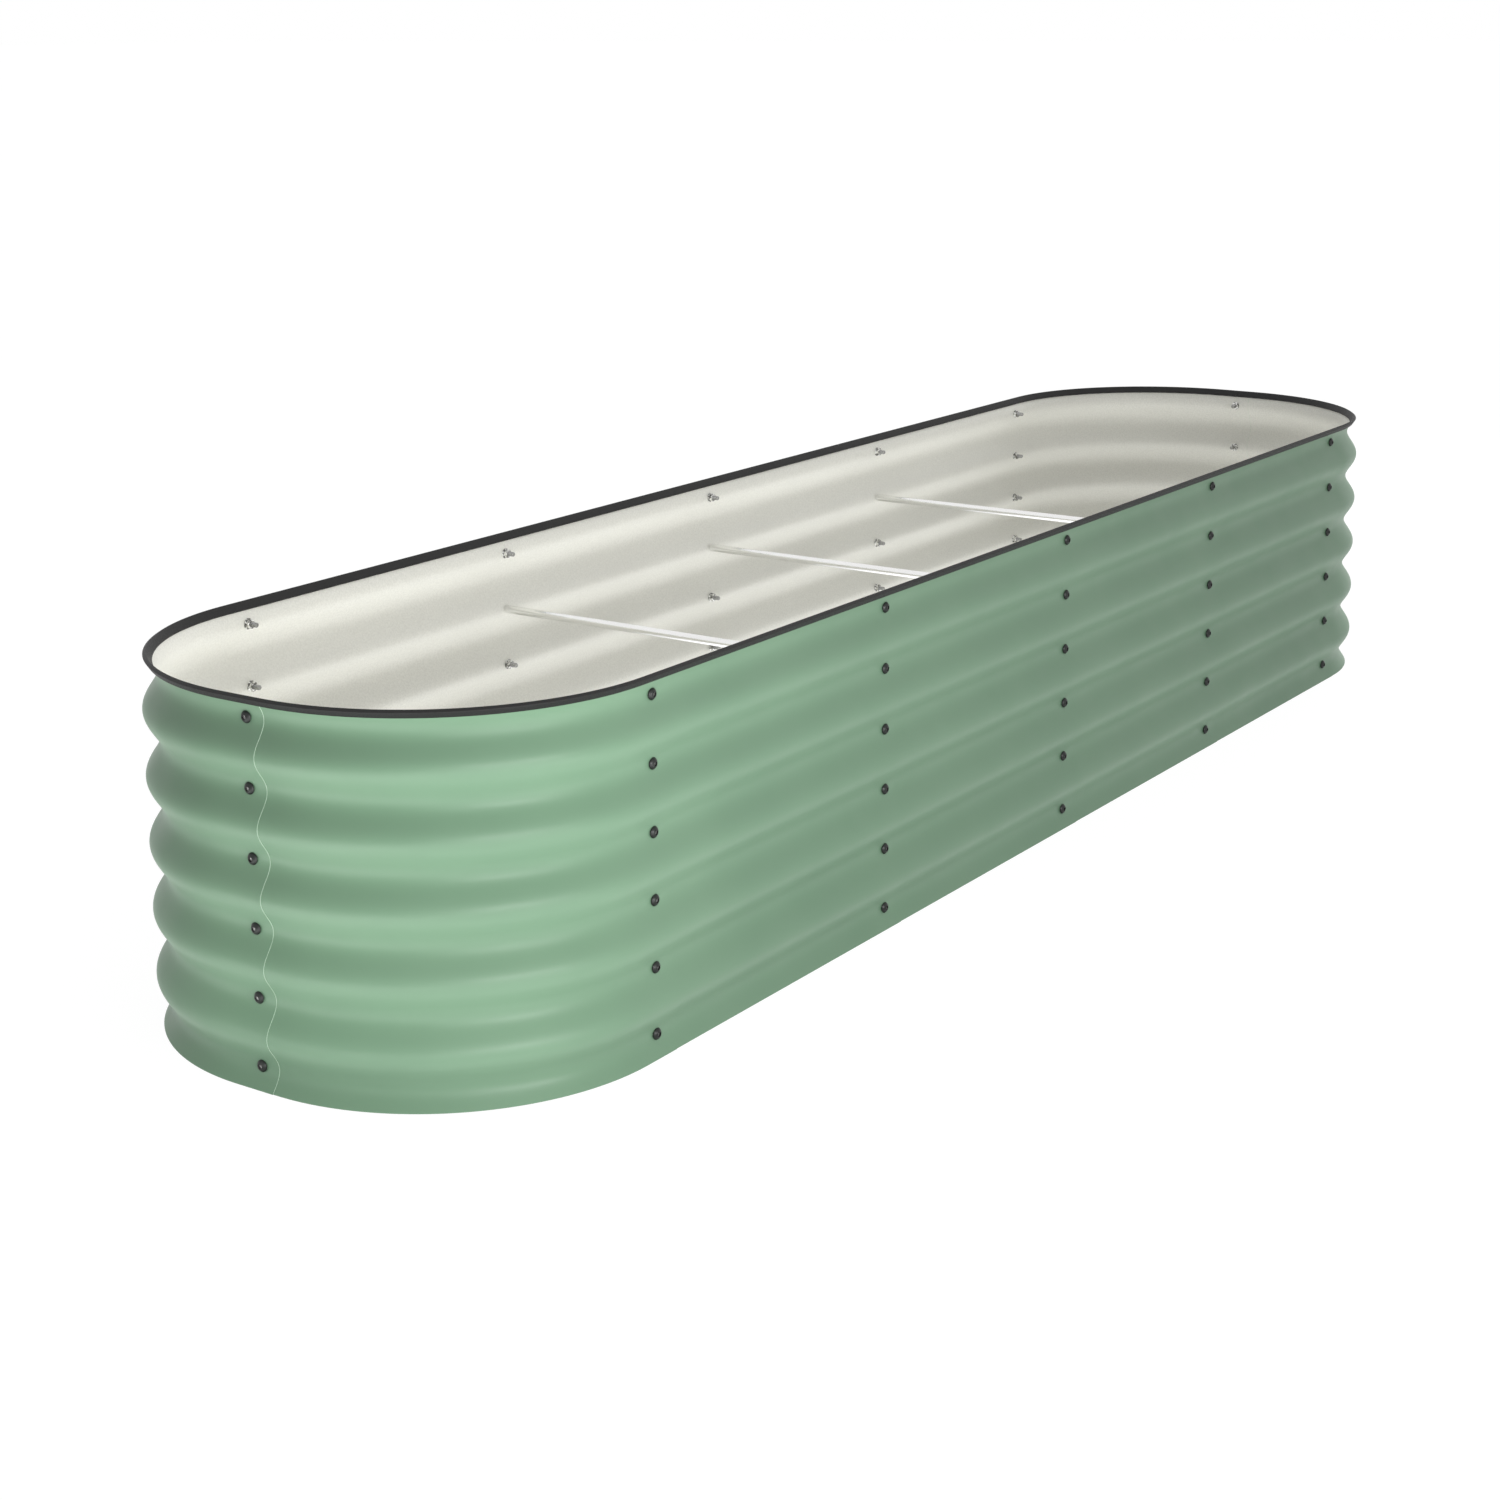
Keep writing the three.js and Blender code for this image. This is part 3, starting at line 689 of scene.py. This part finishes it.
# %% Tree for fasteners
fastener_tree, given, end = new_geometry_tree("fasteners on the wall", {
    "Pattern": bpy.types.Object, "Seed": int,
    "Finish": bpy.types.Material, "Thread finish": bpy.types.Material,
})
tree = fastener_tree
pattern = add_node(tree, "GeometryNodeObjectInfo", {"Object": given["Pattern"]})
heading = add_node(tree, "GeometryNodeInputNamedAttribute", {"Name": "heading"}, data_type="FLOAT")
spin = add_node(tree, "FunctionNodeRandomValue", {"Seed": given["Seed"]}, data_type="FLOAT")
share_of_turn = Wire(tree, next(s for s in spin.outputs if s.type == "VALUE" and s.enabled))
turned = add_node(tree, "ShaderNodeCombineXYZ", {
    0: share_of_turn * math.tau, 2: out_of(tree, heading, "Attribute") - math.pi / 2,
})
set_out = add_node(tree, "GeometryNodeInstanceOnPoints", {
    "Points": given["Geometry"], "Instance": pattern.outputs["Geometry"], "Rotation": turned.outputs[0],
})
real = add_node(tree, "GeometryNodeRealizeInstances", {"Geometry": set_out.outputs[0]})
coated = add_node(tree, "GeometryNodeSetMaterial", {
    "Geometry": real.outputs[0], "Material": given["Finish"],
})
# On a bolt, the marked faces get the finish that paints the thread's shade and the socket's highlight.
thread = add_node(tree, "GeometryNodeInputNamedAttribute", {"Name": "threaded"}, data_type="BOOLEAN")
ready = add_node(tree, "GeometryNodeSetMaterial", {
    "Geometry": coated.outputs[0], "Material": given["Thread finish"],
    "Selection": thread.outputs["Attribute"],
})
plug(tree, ready.outputs[0], end.inputs[0])
print("fastener tree:", len(tree.nodes), "nodes")


def cloud_of_places(spots):
    """A host mesh of bare points, each with the wall's heading as an attribute."""
    mesh = bpy.data.meshes.new("places")
    mesh.from_pydata([spot for spot, _ in spots], [], [])
    mesh.attributes.new("heading", "FLOAT", "POINT").data.foreach_set("value", [h for _, h in spots])
    return bpy.data.objects.new("places", mesh)


def spots_at(stand_off, skip=()):
    """Places in the valleys at every joint and row, a stand-off out of the plan line."""
    spots = []
    for place, distance in joints.items():
        point, heading = wall_at(distance)
        outward = Vector((math.sin(heading), -math.cos(heading), 0))
        for row in range(1, ROWS + 1):
            if (place, row) not in skip:
                spots.append((point + outward * stand_off + Vector((0, 0, row_height(row))), heading))
    return spots


# %% [markdown]
# The valley is round and the underside of a head is flat, so a head rests with its rim on the two
# slopes and bridges the bottom of the valley. The washer lies on the back of the same bend, which
# bulges towards it, so it touches in the middle.

# %% Place the bolts and the nuts
ROD_ROW = 2
BOLT_SEED, NUT_SEED, ROD_SEED = 7, 11, 3
WASHER_GAP = 0.05 * MM
RIM_OF_HEAD = HEAD_RADIUS * 0.96 * MM   # where the flat underside meets the slopes
rod_joints = [f"{side}_{i}" for side in ("front", "back") for i in range(2, PANELS_PER_SIDE + 1)]
LAP_SHARE = LAP_REACH / (PANEL_PITCH + 2 * LAP_REACH)
outer_level = LAP_STEP * (0.5 - LAP_SHARE)
inner_level = -outer_level - SHEET
head_seat = outer_level + wave_out(row_height(1) + RIM_OF_HEAD)
nut_seat = inner_level - WASHER_GAP
bolts = grow("button_head_bolts", fastener_tree, {
    "Pattern": bolt, "Seed": BOLT_SEED, "Finish": black_finish, "Thread finish": thread_shade_and_socket_highlight,
}, cloud_of_places(spots_at(head_seat)))
nuts = grow("nuts_and_washers", fastener_tree, {
    "Pattern": nut, "Seed": NUT_SEED, "Finish": zinc, "Thread finish": zinc,
}, cloud_of_places(spots_at(nut_seat, {(place, ROD_ROW) for place in rod_joints})))
for pattern_object in (bolt, nut):
    bpy.data.objects.remove(pattern_object)
print("bolts:", len(bolts.data.polygons), "faces; nuts:", len(nuts.data.polygons), "faces")

# %% [markdown]
# ## The tie rods
#
# Soil pushes the long walls apart, so three polished rods hold them at the second row of bolts. Each
# end of a rod is drilled for its bolt and bevelled. The rod is a stack of rings once more, and since
# it is repeated, the same kind of tree sets the three out.

# %% Make and place the rods
ROD_RADIUS, ROD_BEVEL, BORE_RADIUS, BORE_DEPTH, ROD_GAP = 5.25, 1.0, 3.3, 20.0, 0.3
rod_half = (CORNER_RADIUS + TAB + inner_level) / MM - ROD_GAP
half_rod = [
    ring(BORE_DEPTH - rod_half, BORE_RADIUS), ring(-rod_half, BORE_RADIUS),
    ring(-rod_half, ROD_RADIUS - ROD_BEVEL), ring(ROD_BEVEL - rod_half, ROD_RADIUS),
]
other_half = [[(-x, y, z) for x, y, z in points] for points in reversed(half_rod)]
rod = body_of_rings("rod_pattern", [(half_rod + other_half, False)], polished)
rod_spots = []
for i in range(2, PANELS_PER_SIDE + 1):
    point, heading = wall_at(joints[f"front_{i}"])
    rod_spots.append((Vector((point.x, 0, row_height(ROD_ROW))), heading))
rods = grow("tie_rods", fastener_tree, {
    "Pattern": rod, "Seed": ROD_SEED, "Finish": polished, "Thread finish": polished,
}, cloud_of_places(rod_spots))
bpy.data.objects.remove(rod)
print("rods:", len(rods.data.polygons), "faces, each", round(2 * rod_half * MM, 4), "m long")

# %% [markdown]
# ## The rubber strip on the rim
#
# The cut top edge would be sharp, so a rubber strip with a slot is pushed over it. Its section is
# the same all the way round, which makes it a sweep: a Curve to Mesh node carries the section along
# the plan line. The sheets' top edges lean outward there, on the slope of the wave, and the strip
# leans with them. Its inner leg is the longer one, and its two ends meet with a fine slit above the
# right end's bolts.

# %% Fit the strip's slot round the sheets' top edges
OUTER_LEG, INNER_LEG, STRIP_WALL, STRIP_CROWN = 7.0 * MM, 10.4 * MM, 1.5 * MM, 0.9 * MM
STRIP_CLEAR, STRIP_ROUND, STRIP_SLIT, LIP_ROUND = 0.3 * MM, 0.8 * MM, 0.6 * MM, 0.5 * MM
SLOT_STEPS = 8                  # heights at which the slot is fitted to the wave
foot = SHEET_HEIGHT - INNER_LEG
lean = Vector((wave_out(SHEET_HEIGHT) - wave_out(foot), INNER_LEG)).normalized()
across_lean = Vector((lean.y, -lean.x))
corner = Vector((wave_out(SHEET_HEIGHT), SHEET_HEIGHT))
in_slot = []
for i in range(SLOT_STEPS + 1):
    height = foot + INNER_LEG * i / SLOT_STEPS
    in_slot.append(Vector((wave_out(height) + LAP_STEP / 2, height)) - corner)
    in_slot.append(Vector((wave_out(height) - LAP_STEP / 2 - SHEET, height)) - corner)
slot_out = max(p.dot(across_lean) for p in in_slot) + STRIP_CLEAR
slot_in = min(p.dot(across_lean) for p in in_slot) - STRIP_CLEAR
slot_top = max(p.dot(lean) for p in in_slot) + STRIP_CLEAR
outer_lip, inner_lip = (slot_top - STRIP_CLEAR - leg for leg in (OUTER_LEG, INNER_LEG))
crown = slot_top + STRIP_CROWN
print("slot:", round((slot_out - slot_in) / MM, 2), "mm wide, leaning",
      round(math.degrees(math.atan2(lean.x, lean.y)), 1), "degrees")


# %% Draw the strip's section
def rounded(centre_u, centre_v, radius, start, steps=5):
    """Points of a quarter circle in the strip's own axes, along and across its lean."""
    return [
        (centre_u + radius * math.cos(start + math.pi / 2 * i / steps),
         centre_v + radius * math.sin(start + math.pi / 2 * i / steps))
        for i in range(steps + 1)
    ]


LIP_STEPS = 3
outside, inside = slot_out + STRIP_WALL, slot_in - STRIP_WALL
outline = rounded(crown - STRIP_ROUND, inside + STRIP_ROUND, STRIP_ROUND, -math.pi / 2)
outline += rounded(crown - STRIP_ROUND, outside - STRIP_ROUND, STRIP_ROUND, 0)
outline += rounded(outer_lip + LIP_ROUND, outside - LIP_ROUND, LIP_ROUND, math.pi / 2, LIP_STEPS)
outline += [(outer_lip, slot_out), (slot_top, slot_out), (slot_top, slot_in), (inner_lip, slot_in)]
outline += rounded(inner_lip + LIP_ROUND, inside + LIP_ROUND, LIP_ROUND, math.pi, LIP_STEPS)
section = [corner + lean * u + across_lean * v for u, v in outline]
print("strip section:", len(section), "points")


# %% Tree for the strip
def poly_curve(name, points, cyclic):
    """A curve object of one straight-sided spline."""
    curve = bpy.data.curves.new(name, "CURVE")
    curve.dimensions = "3D"
    spline = curve.splines.new("POLY")
    spline.points.add(len(points) - 1)
    spline.points.foreach_set("co", [v for p in points for v in (*p, 1.0)])
    spline.use_cyclic_u = cyclic
    return bpy.data.objects.new(name, curve)


def stations(start, stop, arc_steps=40, closest=1e-5):
    """Distances along the plan line: the ends of the straights, and close steps round the corners."""
    marks, walked = [], 0.0
    for length, radius in RUNS:
        for i in range(arc_steps + 1 if radius else 2):
            marks.append(walked + length * i / (arc_steps if radius else 1))
        walked += length
    twice_round = [mark + lap for mark in marks for lap in (0, PERIMETER)]
    kept = [start]
    for mark in sorted({round(mark, 9) for mark in twice_round if start < mark < stop}):
        if mark - kept[-1] > closest and stop - mark > closest:
            kept.append(mark)
    return kept + [stop]


strip_tree, given, end = new_geometry_tree("strip along the rim", {
    "Section": bpy.types.Object, "Finish": bpy.types.Material,
})
tree = strip_tree
profile = add_node(tree, "GeometryNodeObjectInfo", {"Object": given["Section"]})
upright = add_node(tree, "GeometryNodeSetCurveNormal", {"Curve": given["Geometry"]}, mode="Z_UP")
swept = add_node(tree, "GeometryNodeCurveToMesh", {
    "Curve": upright.outputs[0], "Profile Curve": profile.outputs["Geometry"], "Fill Caps": True,
})
real = add_node(tree, "GeometryNodeRealizeInstances", {"Geometry": swept.outputs[0]})
coated = add_node(tree, "GeometryNodeSetMaterial", {
    "Geometry": real.outputs[0], "Material": given["Finish"],
})
plug(tree, coated.outputs[0], end.inputs[0])
print("strip tree:", len(tree.nodes), "nodes")

# %% [markdown]
# The path starts and stops half a slit from the place where the strip's ends meet. The sweep can
# leave the faces turned inside out, so they are set right before the sharp edges are marked.

# %% Lay the strip on the rim
STRIP_CREASE_OVER = math.radians(32)
meeting = joints["right_end"]
path = [wall_at(s)[0] for s in stations(meeting + STRIP_SLIT / 2, meeting + PERIMETER - STRIP_SLIT / 2)]
path_object = poly_curve("strip_path", path, cyclic=False)
section_object = poly_curve("strip_section", [(p.x, -p.y, 0) for p in section], cyclic=True)
strip = grow("rim_strip", strip_tree, {"Section": section_object, "Finish": rubber}, path_object)
bpy.data.objects.remove(section_object)
bm = bmesh.new()
bm.from_mesh(strip.data)
bmesh.ops.recalc_face_normals(bm, faces=bm.faces)
bm.to_mesh(strip.data)
bm.free()
strip.data.shade_smooth()
strip.data.set_sharp_from_angle(angle=STRIP_CREASE_OVER)
spots = [v.co for v in strip.data.vertices]
print("strip:", len(strip.data.polygons), "faces, heights", round(min(p.z for p in spots), 4), "to",
      round(max(p.z for p in spots), 4), "m, half width", round(max(p.y for p in spots), 4), "m")

# %% [markdown]
# ## Which solids the pieces stand for
#
# Every piece rides on the frame's one body, and the solids that it stands for are then hidden in the
# picture. Those are then hidden in the picture and still carry the collision shapes. They stay in
# the scene.

# %% Tie the pieces to the frame
rows_of_nodes = {"bolt": [], "nut": []}
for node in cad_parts:
    for kind, found in rows_of_nodes.items():
        if f"_{kind}_" in node:
            found.append(node)
stand_ins = [(piece, [name], "painted_sheet") for name, piece in sheet_pieces.items()]
stand_ins += [
    (bolts, sorted(rows_of_nodes["bolt"]), "black_bolt"),
    (nuts, sorted(rows_of_nodes["nut"]), "bright_steel"),
    (rods, [f"cross_rod_{i}" for i in range(1, PANELS_PER_SIDE)], "bright_steel"),
    (strip, ["rim_edging"], "rubber_edging"),
]
for piece, nodes, slot in stand_ins:
    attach(piece, "root")
    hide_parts(*nodes)
print(len(stand_ins), "pieces stand for", sum(len(nodes) for _, nodes, _ in stand_ins), "solids")

# %% [markdown]
# ## Floor and light
#
# The photograph has a pure white surround. Here the floor is white and stays a real floor for the
# light that falls on it, so the bed still has a faint shadow, but a look straight at it, or a look at
# it in a polished rod, mostly finds plain white. The room is brightest from the right and from below,
# and soft lights stand at the front left, at the right and above the rim. The floor that is seen as
# plain white throws no light back by itself, so lamps that lie on it do that in its place.

# %% Helper for light
WHITE = (1, 1, 1, 1)


def looked_at(tree):
    """1 for a look by the camera, also in a mirror or through glass, and 0 for light that falls."""
    path_of_light = tree.nodes.new("ShaderNodeLightPath")
    camera_ray, glossy_ray, clear_ray = (
        out_of(tree, path_of_light, f"Is {kind} Ray") for kind in ("Camera", "Glossy", "Transmission")
    )
    return (camera_ray + glossy_ray + clear_ray).calc("MINIMUM", 1.0)


# %% Floor
FLOOR_HALF, FLOOR_DROP = 90.0, 0.0004
PLAIN_SHARE, PLAIN_STRENGTH, FLOOR_TONE = 0.9, 1.065, 0.92
floor_mesh = bpy.data.meshes.new("floor")
floor_mesh.from_pydata(
    [(x * FLOOR_HALF, y * FLOOR_HALF, -FLOOR_DROP) for x, y in ((-1, -1), (1, -1), (1, 1), (-1, 1))],
    [], [(0, 1, 2, 3)],
)
floor = bpy.data.objects.new("floor", floor_mesh)
bpy.context.scene.collection.objects.link(floor)
floor_finish = bpy.data.materials.new("white_floor")
floor_finish.use_nodes = True
tree = floor_finish.node_tree
tree.nodes.clear()
lit = add_node(tree, "ShaderNodeBsdfDiffuse", {"Color": (FLOOR_TONE, FLOOR_TONE, FLOOR_TONE, 1)})
plain = add_node(tree, "ShaderNodeEmission", {"Color": WHITE, "Strength": PLAIN_STRENGTH})
mixed = add_node(tree, "ShaderNodeMixShader", {
    0: looked_at(tree) * PLAIN_SHARE, 1: lit.outputs[0], 2: plain.outputs[0],
})
add_node(tree, "ShaderNodeOutputMaterial", {"Surface": mixed.outputs[0]})
floor_mesh.materials.append(floor_finish)
floor.visible_diffuse = False
floor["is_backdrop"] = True
print("floor:", 2 * FLOOR_HALF, "m wide")

# %% World
ROOM_WALLS = {"X": (0.0, 1.32), "Y": (0.03, 0.3), "Z": (1.6, 0.62)}   # brightness towards - and +
world = bpy.data.worlds.new("studio")
bpy.context.scene.world = world
world.use_nodes = True
tree = world.node_tree
tree.nodes.clear()
coordinates = tree.nodes.new("ShaderNodeTexCoord")
direction = add_node(tree, "ShaderNodeSeparateXYZ", {0: coordinates.outputs["Generated"]})
strength = 0.0
for axis, (low, high) in ROOM_WALLS.items():
    part = out_of(tree, direction, axis)
    wall = part.calc("GREATER_THAN", 0.0) * (high - low) + low
    strength = part * part * wall + strength
room = add_node(tree, "ShaderNodeBackground", {"Color": WHITE, "Strength": strength})
white = add_node(tree, "ShaderNodeBackground", {"Color": WHITE, "Strength": 1.0})
mixed = add_node(tree, "ShaderNodeMixShader", {
    0: looked_at(tree), 1: room.outputs[0], 2: white.outputs[0],
})
add_node(tree, "ShaderNodeOutputWorld", {"Surface": mixed.outputs[0]})
print("world:", world.name, "with", len(tree.nodes), "nodes")


# %% Lamps
def soft_light(name, place, target, width, height, watts):
    """A rectangular lamp that looks at a target and isn't itself seen by the camera."""
    lamp = bpy.data.objects.new(name, bpy.data.lights.new(name, "AREA"))
    lamp.data.shape = "RECTANGLE"
    lamp.data.size, lamp.data.size_y, lamp.data.energy = width, height, watts
    lamp.location = place
    lamp.rotation_euler = (Vector(target) - Vector(place)).to_track_quat("-Z", "Y").to_euler()
    lamp.visible_camera = False
    bpy.context.scene.collection.objects.link(lamp)
    return lamp


soft_light("front_light", (-1.7, -2.0, 0.52), (-1.0, -0.3, 0.3), width=1.4, height=0.2, watts=15)
soft_light("rim_light", (-1.6, -3.0, 0.95), (-0.5, 0.29, 0.36), width=1.2, height=0.3, watts=11)
soft_light("left_rim_light", (-2.8, -2.4, 0.9), (-0.6, 0.29, 0.37), width=1.0, height=0.3, watts=8)
right_light = soft_light("right_light", (3.2, 0.1, 0.9), (1.1, -0.2, 0.25), width=1.0, height=0.6, watts=25)
right_light.visible_glossy = False   # it would draw a white line on the strip

# %% [markdown]
# The lamps on the floor look straight up, from a centimetre above it. Two of them are small and lie
# close to the left end's foot, and two more stand beside it and look at the foot, because the lowest
# waves get little light from the large lamps.

# %% Lamps on the floor
LAMP_HEIGHT = 0.01


def floor_glow(name, x, y, width, depth, watts, turn=0.0):
    """A lamp that lies on the floor and looks up, for the light that a white floor throws back."""
    lamp = soft_light(name, (x, y, LAMP_HEIGHT), (x, y, 1.0), width, depth, watts)
    lamp.rotation_euler = (math.pi, 0, turn)


floor_glow("front_floor_glow", -1.6, -1.2, width=1.6, depth=1.0, watts=14)
floor_glow("end_floor_glow", -1.8, -0.2, width=0.8, depth=1.2, watts=5.4)
floor_glow("inner_floor_glow", 0.0, 0.0, width=2.0, depth=0.44, watts=1.2)
floor_glow("corner_foot_glow", -1.19, -0.276, width=0.5, depth=0.13, watts=0.09, turn=math.radians(-45))
floor_glow("end_foot_glow", -1.295, 0.06, width=0.13, depth=0.44, watts=0.07)
soft_light("corner_foot_light", (-1.247, -0.333, 0.05), (-1.132, -0.218, 0.02),
           width=0.55, height=0.08, watts=0.16)
soft_light("end_foot_light", (-1.375, 0.05, 0.05), (-1.2, 0.05, 0.02), width=0.4, height=0.08, watts=0.11)
scene = bpy.context.scene
scene.view_settings.view_transform = "Standard"

# %% [markdown]
# ## How far the pieces reach
#
# The pieces must not make the bed bigger than its solids, so the most that they reach beyond the solids'
# box is printed.

# %% How far the pieces reach beyond the solids
low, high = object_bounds()
print("grown beyond the solids by at most",
      round(max(*(cad_low - low), *(high - cad_high)) / MM, 3), "mm")
